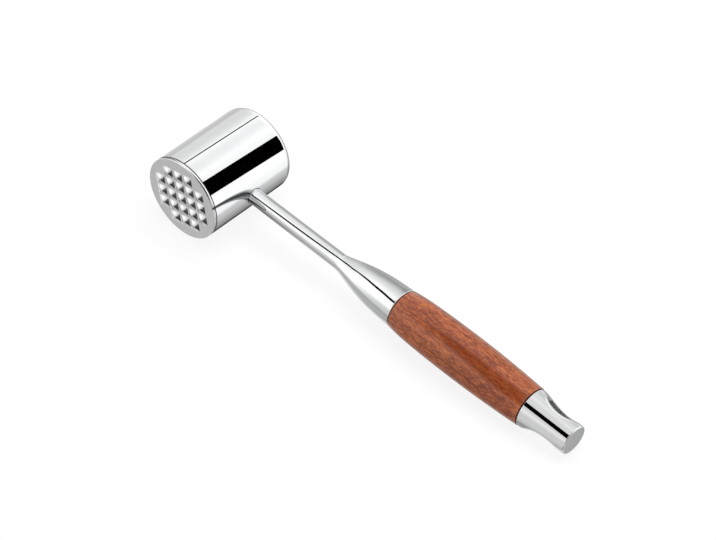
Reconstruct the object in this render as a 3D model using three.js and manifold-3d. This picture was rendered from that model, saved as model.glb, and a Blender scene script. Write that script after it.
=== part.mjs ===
// A hand meat mallet as a three.js scene graph: a weighted steel head with one studded and one
// smooth striking face, a slim stem with a flared ferrule, a turned wooden grip and a steel end
// cap with a hanging hole. Millimetres, +Z up. The mallet lies on its side at rest: the side of
// the head and the rear of the grip touch the ground.
import * as THREE from 'three';
import { mergeVertices } from 'three/addons/utils/BufferGeometryUtils.js';
import Module from 'manifold-3d';

const wasm = await Module();
wasm.setup();

// Fits shared by all the pieces
const SEAT_GAP = 0.3; // between pieces that seat on or slide into each other
const GASKET_GAP = 0.15; // on each side of a thin gasket
const CUT_OVERRUN = 2; // how far a cutting tool runs past the face it opens

// Head shell
const HEAD_RADIUS = 24;
const FACE_REACH = 29.7; // from the stem's axis to the flat of the studded plate
const BACK_REACH = 29.7; // from the stem's axis to the smooth striking face
const SHELL_WALL = 1.5;
const BACK_WALL = 2.5;
const BACK_CORNER_RADIUS = 5.5;
const MOUTH_EDGE_BREAK = 0.2;

// Studded plate
const FLANGE_THICKNESS = 1.8;
const FLANGE_EDGE_BREAK = 0.5;
const SPIGOT_LENGTH = 5;
const STUD_PITCH = 7.18;
const STUD_ROOT_GROOVE = 0.3; // flat left between the feet of two pyramids
const STUD_HEIGHT = 1.2;
const STUD_TIP_WIDTH = 1.1;
const STUD_SINK = 0.4; // how far a pyramid is rooted in the plate
const STUD_PATTERN_TURN = THREE.MathUtils.degToRad(15.1); // from the stem's direction
const STUD_RINGS = 2; // rows of pyramids on each side of the middle one

// Ring seals
const SEAL_SECTION_RADIUS = 0.8;

// Weight inside the head
const CORE_CORNER_RADIUS = 3;

// Screws inside the head
const FACE_STUD_RADIUS = 4;
const FACE_STUD_LENGTH = 13.8;
const FACE_STUD_EDGE_BREAK = 0.6;
const LOCK_SCREW_LENGTH = 8;
const LOCK_SCREW_KEY_FLATS = 4; // across the flats of its hexagon socket
const LOCK_SCREW_KEY_DEPTH = 4;

// Stem, with a threaded front end and a long tang through the grip
const STEM_FRONT_RADIUS = 4.4;
const STEM_REAR_RADIUS = 4.55;
const STEM_SHOULDER_REACH = 84; // from the head's axis to the shoulder that meets the ferrule
const STEM_SOCKET_REACH = 13; // from the head's axis to the bottom of the stem's plain socket
const STEM_THREAD_RADIUS = 4;
const STEM_THREAD_LENGTH = 19.2;
const STEM_THREAD_EDGE_BREAK = 0.8;
const TANG_RADIUS = 3;
const TANG_EDGE_BREAK = 0.6;

// Ferrule
const FERRULE_LENGTH = 45.8;
const FERRULE_NECK_LENGTH = 1.2;
const FERRULE_MOUTH_RADIUS = 11;
const FERRULE_WALL = 1.4;
const FERRULE_SOCKET_DEPTH = 12.6;
const FLARE_FOOT_LEAN = 7; // how far the flare keeps to the stem's direction at its foot
const FLARE_MOUTH_LEAN = 27; // how far it keeps to the grip's direction before its mouth

// Wooden grip
const GRIP_LENGTH = 87.2;
const GRIP_END_RADIUS = 11.25;
const GRIP_BELLY_RADIUS = 12.8;
const GRIP_EDGE_BREAK = 0.25;
const TENON_RADIUS = 8.9;
const TENON_EDGE_BREAK = 0.8;
const GRIP_BORE_CLEARANCE = 0.5;
const COUNTERBORE_DEPTH = 8;

// The grip's outline: places along its length and, at each, the part of the belly's swell
const GRIP_PLACE_SHARES = [0, 0.1, 0.25, 0.45, 0.65, 0.85, 1];
const GRIP_SWELL_SHARES = [0, 0.55, 0.86, 1, 0.88, 0.48, 0];

// Washer, split lock washer and nut that clamp the grip
const WASHER_RADIUS = 6;
const WASHER_THICKNESS = 1.2;
const LOCK_WASHER_RADIUS = 5.2;
const LOCK_WASHER_THICKNESS = 1.2;
const LOCK_WASHER_SPLIT = 1;
const NUT_FLATS = 10;
const NUT_HEIGHT = 4.8;

// Gaskets at the two ends of the grip
const FERRULE_GASKET_THICKNESS = 0.3;
const CAP_GASKET_THICKNESS = 0.5;
const GASKET_INSET = 0.6;

// End cap, hanging hole and the two scoops it opens into
const CAP_LENGTH = 28.5;
const CAP_FRONT_RADIUS = 11.05;
const CAP_END_RADIUS = 8.25;
const CAP_END_EDGE_RADIUS = 0.5;
const CAP_THREAD_DEPTH = 5.6;
const HOLE_TURN = THREE.MathUtils.degToRad(45); // the hole's axis, from the head's axis upward
const HOLE_WIDTH = 8;
const HOLE_LENGTH = 15;
const HOLE_TO_END = 8.2; // from the hole's near end to the cap's end face
const SCOOP_RADIUS = 26;
const SCOOP_TO_END = 12.2; // from the middle of a scoop to the cap's end face
const SCOOP_WAIST = 14.2; // thickness left between the two scoops

// How finely round shapes are cut into flats
const HEAD_SIDES = 72;
const HANDLE_SIDES = 48;
const SCREW_SIDES = 24;
const SEAL_SIDES = 6;
const SEAL_RING_STEPS = 48;
const SCOOP_SIDES = 128;
const CORNER_STEPS = 5;
const FLARE_STEPS = 12;
const GRIP_STEPS = 14;
const HEXAGON_SIDES = 6;
const SQUARE_SIDES = 4;
const HOLE_END_STEPS = 10;

// Places along the head's axis (Y), from the studded plate to the smooth face
const faceY = -FACE_REACH;
const flangeBackY = faceY + FLANGE_THICKNESS;
const mouthY = flangeBackY + SEAT_GAP;
const spigotBackY = flangeBackY + SPIGOT_LENGTH;
const backY = BACK_REACH;
const shellFloorY = backY - BACK_WALL;
const coreFrontY = spigotBackY + SEAT_GAP;
const coreBackY = shellFloorY - SEAT_GAP;
const shellInnerRadius = HEAD_RADIUS - SHELL_WALL;
const coreRadius = shellInnerRadius - SEAT_GAP;

// The seal groove in the spigot holds the ring with a gap all round
const sealGrooveWidth = 2 * (SEAL_SECTION_RADIUS + SEAT_GAP);
const faceSealRadius = shellInnerRadius - SEAT_GAP - SEAL_SECTION_RADIUS;
const sealGrooveRadius = faceSealRadius - SEAL_SECTION_RADIUS - SEAT_GAP;
const faceSealY = (flangeBackY + spigotBackY) / 2;

// The lock screw's tip stops just short of the stem's thread, and the face stud behind it
const tappedRadius = FACE_STUD_RADIUS + SEAT_GAP;
const lockScrewTipY = -(STEM_THREAD_RADIUS + SEAT_GAP);
const lockScrewBackY = lockScrewTipY - LOCK_SCREW_LENGTH;
const faceStudInnerY = lockScrewBackY - SEAT_GAP;
const faceStudOuterY = faceStudInnerY - FACE_STUD_LENGTH;

// The stem's seal sits in the core just under the shell's wall
const stemSocketRadius = STEM_FRONT_RADIUS + SEAT_GAP;
const stemSealRadius = stemSocketRadius + SEAL_SECTION_RADIUS;
const stemSealPocketRadius = stemSealRadius + SEAL_SECTION_RADIUS + SEAT_GAP;
const sealRoofX = Math.sqrt(shellInnerRadius ** 2 - stemSealPocketRadius ** 2);
const stemSealX = sealRoofX - SEAT_GAP - SEAL_SECTION_RADIUS;
const stemSealFloorX = stemSealX - SEAL_SECTION_RADIUS - SEAT_GAP;

// Places along the handle's axis (X), from the head's axis to the cap's end face
const threadFrontX = STEM_SOCKET_REACH - STEM_THREAD_LENGTH;
const ferruleX = STEM_SHOULDER_REACH + SEAT_GAP;
const ferruleMouthX = ferruleX + FERRULE_LENGTH;
const ferruleSocketX = ferruleMouthX - FERRULE_SOCKET_DEPTH;
const ferruleGasketX = ferruleMouthX + GASKET_GAP;
const gripX = ferruleGasketX + FERRULE_GASKET_THICKNESS + GASKET_GAP;
const gripEndX = gripX + GRIP_LENGTH;
const tenonX = ferruleSocketX + SEAT_GAP;
const capGasketX = gripEndX + GASKET_GAP;
const capX = capGasketX + CAP_GASKET_THICKNESS + GASKET_GAP;
const capEndX = capX + CAP_LENGTH;
const tangEndX = capX + CAP_THREAD_DEPTH - SEAT_GAP;
const counterboreX = gripEndX - COUNTERBORE_DEPTH;
const washerX = counterboreX + SEAT_GAP;
const lockWasherX = washerX + WASHER_THICKNESS + SEAT_GAP;
const nutX = lockWasherX + LOCK_WASHER_THICKNESS + SEAT_GAP;
const counterboreRadius = WASHER_RADIUS + GRIP_BORE_CLEARANCE;
const tangBoreRadius = TANG_RADIUS + SEAT_GAP;
const gripBoreRadius = TANG_RADIUS + GRIP_BORE_CLEARANCE;
const socketRadius = TENON_RADIUS + SEAT_GAP;

// Finishes
const finishes = {
  mirror: { color: 0xd9dbdc, roughness: 0.08, metalness: 1 },
  satin: { color: 0xb4b6b8, roughness: 0.38, metalness: 1 },
  machined: { color: 0x8f9193, roughness: 0.5, metalness: 1 },
  rubber: { color: 0x161616, roughness: 0.75, metalness: 0 },
  wood: { color: 0x9c4a28, roughness: 0.45, metalness: 0 },
};

// A closed ring or solid of revolution about the head's axis, from a list of [radius, y]
function turnedAboutY(outline, sides) {
  const points = outline.map(([radius, y]) => new THREE.Vector2(radius, y));
  return new THREE.LatheGeometry(points, sides);
}

// The same about the handle's axis, from a list of [radius, x]
function turnedAboutX(outline, sides) {
  return turnedAboutY(outline, sides).rotateZ(-Math.PI / 2);
}

// A rounded outer corner, from the side at one radius round to the end face at one place
function roundedCorner(cornerRadius, sideRadius, endPlace) {
  const points = [];
  for (let step = 0; step <= CORNER_STEPS; step += 1) {
    const angle = (Math.PI / 2) * (step / CORNER_STEPS);
    points.push([
      sideRadius - cornerRadius * (1 - Math.cos(angle)),
      endPlace - cornerRadius * (1 - Math.sin(angle)),
    ]);
  }
  return points;
}

// A plain turned rod with broken edges, along its axis from one place to another
function rodOutline(radius, from, to, edgeBreak) {
  return [
    [0, from],
    [radius - edgeBreak, from],
    [radius, from + edgeBreak],
    [radius, to - edgeBreak],
    [radius - edgeBreak, to],
    [0, to],
  ];
}

// A flat ring with a square section, from one place on its axis to another
function ringOutline(innerRadius, outerRadius, from, to) {
  return [
    [innerRadius, from],
    [outerRadius, from],
    [outerRadius, to],
    [innerRadius, to],
    [innerRadius, from],
  ];
}

// Solids for joining and cutting
function solidFrom(geometry) {
  const bare = geometry.clone();
  bare.deleteAttribute('normal');
  bare.deleteAttribute('uv');
  const merged = mergeVertices(bare);
  const vertProperties = new Float32Array(merged.attributes.position.array);
  const triVerts = new Uint32Array(merged.index.array);
  return new wasm.Manifold(new wasm.Mesh({ numProp: 3, vertProperties, triVerts }));
}

function geometryFrom(solid) {
  const mesh = solid.getMesh();
  const geometry = new THREE.BufferGeometry();
  geometry.setAttribute('position', new THREE.BufferAttribute(new Float32Array(mesh.vertProperties), 3));
  geometry.setIndex(new THREE.BufferAttribute(new Uint32Array(mesh.triVerts), 1));
  const faceted = geometry.toNonIndexed();
  faceted.computeVertexNormals();
  return faceted;
}

function cut(geometry, ...tools) {
  return geometryFrom(tools.reduce((solid, tool) => solid.subtract(solidFrom(tool)), solidFrom(geometry)));
}

function join(geometry, ...others) {
  return geometryFrom(others.reduce((solid, other) => solid.add(solidFrom(other)), solidFrom(geometry)));
}

// A round drill along the handle's axis, and one along the head's
function drillAlongX(radius, from, to, sides = SCREW_SIDES) {
  return turnedAboutX([[0, from], [radius, from], [radius, to], [0, to]], sides);
}

function drillAlongY(radius, from, to, sides = SCREW_SIDES) {
  return turnedAboutY([[0, from], [radius, from], [radius, to], [0, to]], sides);
}

// Head

function headShell() {
  const cup = turnedAboutY([
    [shellInnerRadius, mouthY],
    [HEAD_RADIUS - MOUTH_EDGE_BREAK, mouthY],
    [HEAD_RADIUS, mouthY + MOUTH_EDGE_BREAK],
    ...roundedCorner(BACK_CORNER_RADIUS, HEAD_RADIUS, backY),
    [0, backY],
    [0, shellFloorY],
    ...roundedCorner(CORE_CORNER_RADIUS, shellInnerRadius, shellFloorY).reverse(),
    [shellInnerRadius, mouthY],
  ], HEAD_SIDES);
  return cut(cup, drillAlongX(stemSocketRadius, 0, HEAD_RADIUS + CUT_OVERRUN));
}

function headCore() {
  const slug = turnedAboutY([
    [0, coreFrontY],
    [coreRadius, coreFrontY],
    ...roundedCorner(CORE_CORNER_RADIUS, coreRadius, coreBackY),
    [0, coreBackY],
  ], HEAD_SIDES);
  const beyond = HEAD_RADIUS + CUT_OVERRUN;
  return cut(
    slug,
    drillAlongX(STEM_THREAD_RADIUS + SEAT_GAP, threadFrontX - SEAT_GAP, beyond),
    drillAlongX(stemSocketRadius, STEM_SOCKET_REACH, beyond),
    drillAlongX(stemSealPocketRadius, stemSealFloorX, beyond),
    drillAlongY(tappedRadius, coreFrontY - CUT_OVERRUN, 0),
  );
}

// One low pyramid with a blunt square tip, standing out of the plate at a place in its pattern
function stud(across, up) {
  const halfDiagonal = (width) => (width / 2) * Math.SQRT2;
  const height = STUD_HEIGHT + STUD_SINK;
  const growth = (STUD_PITCH - STUD_ROOT_GROOVE - STUD_TIP_WIDTH) / STUD_HEIGHT;
  const rootWidth = STUD_TIP_WIDTH + growth * height;
  const pyramid = new THREE.CylinderGeometry(
    halfDiagonal(rootWidth), halfDiagonal(STUD_TIP_WIDTH), height, SQUARE_SIDES,
  );
  pyramid.rotateY(Math.PI / SQUARE_SIDES);
  pyramid.translate(across * STUD_PITCH, faceY - STUD_HEIGHT + height / 2, up * STUD_PITCH);
  return pyramid.rotateY(-STUD_PATTERN_TURN);
}

function studdedFace() {
  const plate = turnedAboutY([
    [0, faceY],
    [HEAD_RADIUS - FLANGE_EDGE_BREAK, faceY],
    [HEAD_RADIUS, faceY + FLANGE_EDGE_BREAK],
    [HEAD_RADIUS, flangeBackY],
    [coreRadius, flangeBackY],
    [coreRadius, faceSealY - sealGrooveWidth / 2],
    [sealGrooveRadius, faceSealY - sealGrooveWidth / 2],
    [sealGrooveRadius, faceSealY + sealGrooveWidth / 2],
    [coreRadius, faceSealY + sealGrooveWidth / 2],
    [coreRadius, spigotBackY],
    [0, spigotBackY],
  ], HEAD_SIDES);
  const studs = [];
  for (let across = -STUD_RINGS; across <= STUD_RINGS; across += 1) {
    for (let up = -STUD_RINGS; up <= STUD_RINGS; up += 1) {
      const corner = Math.abs(across) === STUD_RINGS && Math.abs(up) === STUD_RINGS;
      if (!corner) studs.push(stud(across, up));
    }
  }
  const socket = drillAlongY(tappedRadius, faceStudOuterY - SEAT_GAP, spigotBackY + CUT_OVERRUN);
  return cut(join(plate, ...studs), socket);
}

function faceSeal() {
  const ring = new THREE.TorusGeometry(faceSealRadius, SEAL_SECTION_RADIUS, SEAL_SIDES, SEAL_RING_STEPS);
  return ring.rotateX(Math.PI / 2).translate(0, faceSealY, 0);
}

function faceStud() {
  return turnedAboutY(
    rodOutline(FACE_STUD_RADIUS, faceStudOuterY, faceStudInnerY, FACE_STUD_EDGE_BREAK),
    SCREW_SIDES,
  );
}

function stemLockScrew() {
  const screw = turnedAboutY(
    rodOutline(FACE_STUD_RADIUS, lockScrewBackY, lockScrewTipY, FACE_STUD_EDGE_BREAK),
    SCREW_SIDES,
  );
  const keyRadius = LOCK_SCREW_KEY_FLATS / 2 / Math.cos(Math.PI / HEXAGON_SIDES);
  const keyFloorY = lockScrewBackY + LOCK_SCREW_KEY_DEPTH;
  return cut(screw, drillAlongY(keyRadius, lockScrewBackY - CUT_OVERRUN, keyFloorY, HEXAGON_SIDES));
}

function stemSeal() {
  const ring = new THREE.TorusGeometry(stemSealRadius, SEAL_SECTION_RADIUS, SEAL_SIDES, SCREW_SIDES);
  return ring.rotateY(Math.PI / 2).translate(stemSealX, 0, 0);
}

// Handle

function stem() {
  return turnedAboutX([
    [0, threadFrontX],
    [STEM_THREAD_RADIUS - STEM_THREAD_EDGE_BREAK, threadFrontX],
    [STEM_THREAD_RADIUS, threadFrontX + STEM_THREAD_EDGE_BREAK],
    [STEM_THREAD_RADIUS, STEM_SOCKET_REACH + SEAT_GAP],
    [STEM_FRONT_RADIUS, STEM_SOCKET_REACH + SEAT_GAP],
    [STEM_FRONT_RADIUS, HEAD_RADIUS],
    [STEM_REAR_RADIUS, STEM_SHOULDER_REACH],
    [TANG_RADIUS, STEM_SHOULDER_REACH],
    [TANG_RADIUS, tangEndX - TANG_EDGE_BREAK],
    [TANG_RADIUS - TANG_EDGE_BREAK, tangEndX],
    [0, tangEndX],
  ], HANDLE_SIDES);
}

// The flare's outline: along the stem at its foot, along the grip at its mouth
function flareCurve() {
  const footX = ferruleX + FERRULE_NECK_LENGTH;
  return new THREE.CubicBezierCurve(
    new THREE.Vector2(STEM_REAR_RADIUS, footX),
    new THREE.Vector2(STEM_REAR_RADIUS, footX + FLARE_FOOT_LEAN),
    new THREE.Vector2(FERRULE_MOUTH_RADIUS, ferruleMouthX - FLARE_MOUTH_LEAN),
    new THREE.Vector2(FERRULE_MOUTH_RADIUS, ferruleMouthX),
  );
}

function ferrule() {
  const flare = flareCurve().getPoints(FLARE_STEPS).map((point) => [point.x, point.y]);
  const inside = flare
    .map(([radius, x]) => [radius - FERRULE_WALL, x])
    .filter(([radius, x]) => radius > tangBoreRadius && radius < socketRadius && x < ferruleSocketX)
    .reverse();
  return turnedAboutX([
    [tangBoreRadius, ferruleX],
    [STEM_REAR_RADIUS, ferruleX],
    ...flare,
    [socketRadius, ferruleMouthX],
    [socketRadius, ferruleSocketX],
    ...inside,
    [tangBoreRadius, inside.at(-1)[1] - FERRULE_WALL],
    [tangBoreRadius, ferruleX],
  ], HANDLE_SIDES);
}

// The grip's outline between its two end faces, as a smooth curve through its stations
function gripSwell() {
  const stations = GRIP_PLACE_SHARES.map((share, index) => new THREE.Vector2(
    GRIP_END_RADIUS + (GRIP_BELLY_RADIUS - GRIP_END_RADIUS) * GRIP_SWELL_SHARES[index],
    gripX + GRIP_LENGTH * share,
  ));
  return new THREE.SplineCurve(stations).getPoints(GRIP_STEPS).map((point) => [point.x, point.y]);
}

function woodGrip() {
  const swell = gripSwell().slice(1, -1);
  return turnedAboutX([
    [gripBoreRadius, tenonX],
    [TENON_RADIUS - TENON_EDGE_BREAK, tenonX],
    [TENON_RADIUS, tenonX + TENON_EDGE_BREAK],
    [TENON_RADIUS, gripX],
    [GRIP_END_RADIUS - GRIP_EDGE_BREAK, gripX],
    [GRIP_END_RADIUS, gripX + GRIP_EDGE_BREAK],
    ...swell,
    [GRIP_END_RADIUS, gripEndX - GRIP_EDGE_BREAK],
    [GRIP_END_RADIUS - GRIP_EDGE_BREAK, gripEndX],
    [counterboreRadius, gripEndX],
    [counterboreRadius, counterboreX],
    [gripBoreRadius, counterboreX],
    [gripBoreRadius, tenonX],
  ], HANDLE_SIDES);
}

function gripWasher() {
  return turnedAboutX(
    ringOutline(tangBoreRadius, WASHER_RADIUS, washerX, washerX + WASHER_THICKNESS),
    HANDLE_SIDES,
  );
}

function gripLockWasher() {
  const ring = turnedAboutX(
    ringOutline(tangBoreRadius, LOCK_WASHER_RADIUS, lockWasherX, lockWasherX + LOCK_WASHER_THICKNESS),
    HANDLE_SIDES,
  );
  const reach = LOCK_WASHER_RADIUS + CUT_OVERRUN;
  const split = new THREE.BoxGeometry(LOCK_WASHER_THICKNESS + 2 * CUT_OVERRUN, LOCK_WASHER_SPLIT, reach);
  split.translate(lockWasherX + LOCK_WASHER_THICKNESS / 2, 0, reach / 2);
  return cut(ring, split);
}

function gripNut() {
  const cornerRadius = NUT_FLATS / 2 / Math.cos(Math.PI / HEXAGON_SIDES);
  const blank = drillAlongX(cornerRadius, nutX, nutX + NUT_HEIGHT, HEXAGON_SIDES);
  return cut(blank, drillAlongX(tangBoreRadius, nutX - CUT_OVERRUN, nutX + NUT_HEIGHT + CUT_OVERRUN));
}

function ferruleGasket() {
  const rim = FERRULE_MOUTH_RADIUS - GASKET_INSET;
  return turnedAboutX(
    ringOutline(socketRadius, rim, ferruleGasketX, ferruleGasketX + FERRULE_GASKET_THICKNESS),
    HANDLE_SIDES,
  );
}

function capGasket() {
  const rim = CAP_FRONT_RADIUS - GASKET_INSET;
  return turnedAboutX(
    ringOutline(tangBoreRadius, rim, capGasketX, capGasketX + CAP_GASKET_THICKNESS),
    HANDLE_SIDES,
  );
}

// Turns a shape drawn with x along the handle and z along the hole into its place on the cap
function placedOnCap(geometry, x, alongHole) {
  const handle = new THREE.Vector3(1, 0, 0);
  const hole = new THREE.Vector3(0, Math.cos(HOLE_TURN), Math.sin(HOLE_TURN));
  const across = new THREE.Vector3().crossVectors(hole, handle);
  const frame = new THREE.Matrix4().makeBasis(handle, across, hole);
  frame.setPosition(hole.clone().multiplyScalar(alongHole).add(new THREE.Vector3(x, 0, 0)));
  return geometry.applyMatrix4(frame);
}

function hangingHole() {
  const endRadius = HOLE_WIDTH / 2;
  const halfStraight = HOLE_LENGTH / 2 - endRadius;
  const outline = new THREE.Shape();
  outline.absarc(halfStraight, 0, endRadius, -Math.PI / 2, Math.PI / 2);
  outline.absarc(-halfStraight, 0, endRadius, Math.PI / 2, Math.PI * 1.5);
  const depth = 2 * (CAP_FRONT_RADIUS + CUT_OVERRUN);
  const settings = { depth, bevelEnabled: false, curveSegments: HOLE_END_STEPS };
  const tool = new THREE.ExtrudeGeometry(outline, settings).translate(0, 0, -depth / 2);
  return placedOnCap(tool, capEndX - HOLE_TO_END - HOLE_LENGTH / 2, 0);
}

function scoop(side) {
  const length = 2 * (CAP_FRONT_RADIUS + CUT_OVERRUN);
  const tool = new THREE.CylinderGeometry(SCOOP_RADIUS, SCOOP_RADIUS, length, SCOOP_SIDES);
  return placedOnCap(tool, capEndX - SCOOP_TO_END, side * (SCOOP_WAIST / 2 + SCOOP_RADIUS));
}

function endCap() {
  const finial = turnedAboutX([
    [0, capX],
    [CAP_FRONT_RADIUS, capX],
    ...roundedCorner(CAP_END_EDGE_RADIUS, CAP_END_RADIUS, capEndX),
    [0, capEndX],
  ], HANDLE_SIDES);
  const thread = drillAlongX(tangBoreRadius, capX - CUT_OVERRUN, capX + CAP_THREAD_DEPTH);
  return cut(finial, thread, scoop(1), scoop(-1), hangingHole());
}

// Scene graph

function piece(name, geometry, finish) {
  const mesh = new THREE.Mesh(geometry, new THREE.MeshStandardMaterial(finishes[finish]));
  mesh.name = name;
  return mesh;
}

// The lean of the handle when the head's side and the fattest reach of the handle touch the ground
function restLean() {
  const touchable = [...gripSwell(), [CAP_FRONT_RADIUS, capX], [CAP_END_RADIUS, capEndX]];
  return Math.min(...touchable.map(([radius, x]) => (
    Math.asin(HEAD_RADIUS / Math.hypot(x, radius)) - Math.atan2(radius, x)
  )));
}

const head = new THREE.Group();
head.add(
  piece('head_shell', headShell(), 'mirror'),
  piece('head_core', headCore(), 'machined'),
  piece('studded_face', studdedFace(), 'satin'),
  piece('face_seal', faceSeal(), 'rubber'),
  piece('face_stud', faceStud(), 'machined'),
  piece('stem_lock_screw', stemLockScrew(), 'machined'),
  piece('stem_seal', stemSeal(), 'rubber'),
);

const handle = new THREE.Group();
handle.add(
  piece('stem', stem(), 'mirror'),
  piece('ferrule', ferrule(), 'mirror'),
  piece('ferrule_gasket', ferruleGasket(), 'rubber'),
  piece('wood_grip', woodGrip(), 'wood'),
  piece('grip_washer', gripWasher(), 'machined'),
  piece('grip_lock_washer', gripLockWasher(), 'machined'),
  piece('grip_nut', gripNut(), 'machined'),
  piece('cap_gasket', capGasket(), 'rubber'),
  piece('end_cap', endCap(), 'mirror'),
);

// Lay the mallet down, then put the middle of its footprint at the origin
const mallet = new THREE.Group();
mallet.add(head, handle);
mallet.rotation.y = restLean();
mallet.updateMatrixWorld(true);
const reach = new THREE.Box3().setFromObject(mallet, true);
const middle = reach.getCenter(new THREE.Vector3());
mallet.position.set(-middle.x, -middle.y, -reach.min.z);

export default mallet;
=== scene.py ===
"""Looks of a hand meat mallet: a polished steel head with a studded face, a slim stem with a flared
ferrule, a turned hardwood grip and a steel end cap with a hanging slot.

Sizes are in millimetres in the mallet's own frame, in which the head's centre is the origin, X runs
along the handle and Y along the head. RestPose lays it on the floor, in metres.
"""

import logging
import math
from collections.abc import Callable, Sequence
from dataclasses import dataclass
from enum import Enum

import bmesh
import bpy
import numpy as np
from mathutils import Matrix, Vector


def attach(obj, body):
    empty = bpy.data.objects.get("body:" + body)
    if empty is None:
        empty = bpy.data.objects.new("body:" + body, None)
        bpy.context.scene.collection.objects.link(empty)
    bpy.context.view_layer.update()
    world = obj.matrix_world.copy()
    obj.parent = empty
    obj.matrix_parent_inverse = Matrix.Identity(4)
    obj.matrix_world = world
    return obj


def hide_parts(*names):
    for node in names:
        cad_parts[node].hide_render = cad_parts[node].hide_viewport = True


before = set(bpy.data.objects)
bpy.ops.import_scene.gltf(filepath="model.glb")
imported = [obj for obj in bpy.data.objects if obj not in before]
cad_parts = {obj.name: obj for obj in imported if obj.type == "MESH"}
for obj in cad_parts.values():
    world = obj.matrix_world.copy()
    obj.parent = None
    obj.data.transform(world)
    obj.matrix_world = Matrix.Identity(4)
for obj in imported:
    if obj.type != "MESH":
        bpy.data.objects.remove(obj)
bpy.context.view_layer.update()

logging.basicConfig(level=logging.INFO, format="%(message)s")
log = logging.getLogger("mallet")

MM = 0.001
WHITE = (1, 1, 1, 1)

Triple = tuple[float, float, float]
Colour = tuple[float, float, float, float]
Outline = list[tuple[float, float]]
Face = tuple[int, ...]
Value = float | np.ndarray
Piece = bpy.types.Object
Socket = bpy.types.NodeSocket


# Placing and naming

class Axis(Enum):
    """The two axes that pieces are turned about."""

    HEAD = "Y"
    HANDLE = "X"


class Slot(Enum):
    """The record's material slots."""

    POLISHED = "polished_steel"
    SATIN = "satin_steel"
    MACHINED = "machined_steel"
    IRON = "core_iron"
    RUBBER = "seal_rubber"
    WOOD = "red_wood"


@dataclass(frozen=True)
class RestPose:
    """How the mallet lies on its side: the lean of its handle, and where the head's centre is."""

    lean: float = 0.05858185
    head_centre: Triple = (-111.61978, 0.6, 24.0)

    def turned(self, points: np.ndarray, lean: float) -> np.ndarray:
        """Turns points about the head's length.

        Args:
            points: An array whose last axis is x, y, z.
            lean: The turn in radians.

        Returns:
            The turned array.
        """
        x, y, z = np.moveaxis(np.asarray(points, float), -1, 0)
        cos, sin = math.cos(lean), math.sin(lean)
        return np.stack([x * cos + z * sin, y, z * cos - x * sin], -1)

    def placed(self, points: np.ndarray) -> np.ndarray:
        """Lays points of the mallet's own frame on the floor, in metres."""
        return (self.turned(points, self.lean) + np.array(self.head_centre)) * MM

    def own(self, points: np.ndarray) -> np.ndarray:
        """Gives points on the floor, in metres, in the mallet's own frame."""
        return self.turned(np.asarray(points, float) / MM - self.head_centre, -self.lean)


REST = RestPose()


# Meshes

def arc(centre: tuple[float, float], radius: float, start: float, end: float, steps: int) -> Outline:
    """Gives a rounded edge of an outline, between two angles in degrees: 0 outward, 90 along the axis."""
    angles = np.radians(np.linspace(start, end, steps + 1))
    return [(centre[0] + radius * math.cos(a), centre[1] + radius * math.sin(a)) for a in angles]


def around(radius: Value, place: Value, angle: Value, axis: Axis) -> np.ndarray:
    """Turns cylinder coordinates into points.

    Args:
        radius: Distances from the axis.
        place: Places along the axis.
        angle: Angles round the axis in radians, from X or Y towards Z.
        axis: The axis.

    Returns:
        The points, with x, y, z last.
    """
    across, up = radius * np.cos(angle), radius * np.sin(angle)
    parts = (place, across, up) if axis is Axis.HANDLE else (across, place, up)
    return np.stack(np.broadcast_arrays(*parts), -1)


def turned_solid(name: str, outline: Outline, segments: int, axis: Axis) -> Piece:
    """Turns an outline about an axis.

    Args:
        name: The piece's name.
        outline: (radius, place) pairs. It starts and ends on the axis, or at the same point.
        segments: Flats round the axis.
        axis: The axis.

    Returns:
        The piece.
    """
    ring = outline[0] == outline[-1]
    used = outline[:-1] if ring else outline
    angles = np.linspace(0, math.tau, segments, endpoint=False)
    rows = [around(radius, place, angles if radius > 0 else angles[:1], axis) for radius, place in used]
    starts = np.cumsum([0, *map(len, rows)]).tolist()
    faces: list[Face] = []
    for one in range(len(used) if ring else len(used) - 1):
        two = (one + 1) % len(used)
        for k in range(segments):
            n = (k + 1) % segments
            low = (starts[one],) if used[one][0] == 0 else (starts[one] + k, starts[one] + n)
            high = (starts[two],) if used[two][0] == 0 else (starts[two] + n, starts[two] + k)
            if len(low) + len(high) > 2:
                faces.append(low + high)
    return solid_object(name, np.concatenate(rows), faces)


def grid_faces(rows: int, columns: int, closed: bool, start: int = 0) -> list[Face]:
    """Lists the quads of a grid of points laid out row by row.

    Args:
        rows: Rows of points.
        columns: Points in a row.
        closed: Whether each row is a loop.
        start: The number of the grid's first point.

    Returns:
        The quads.
    """
    reach = columns if closed else columns - 1
    return [
        (start + r * columns + c, start + r * columns + (c + 1) % columns,
         start + (r + 1) * columns + (c + 1) % columns, start + (r + 1) * columns + c)
        for r in range(rows - 1) for c in range(reach)
    ]


def linked(name: str, data: bpy.types.ID) -> Piece:
    """Makes an object and puts it into the scene.

    Args:
        name: The object's name.
        data: Its mesh, lamp or camera.

    Returns:
        The object.
    """
    made = bpy.data.objects.new(name, data)
    bpy.context.scene.collection.objects.link(made)
    return made


def solid_object(name: str, points: np.ndarray, faces: Sequence[Face]) -> Piece:
    """Makes an object of a closed mesh given in the mallet's own frame.

    Args:
        name: The piece's name.
        points: Its points.
        faces: Its faces, wound either way.

    Returns:
        The object, with all its faces turned outward.
    """
    mesh = bpy.data.meshes.new(name)
    mesh.from_pydata(REST.placed(points).tolist(), [], faces)
    work = bmesh.new()
    work.from_mesh(mesh)
    bmesh.ops.recalc_face_normals(work, faces=work.faces)
    work.to_mesh(mesh)
    work.free()
    return linked(name, mesh)


def store(mesh: bpy.types.Mesh, name: str, values: Sequence[float]) -> None:
    """Stores a value at each point of a mesh, under a name that materials read."""
    mesh.attributes.new(name, "FLOAT", "POINT").data.foreach_set("value", values)


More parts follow.
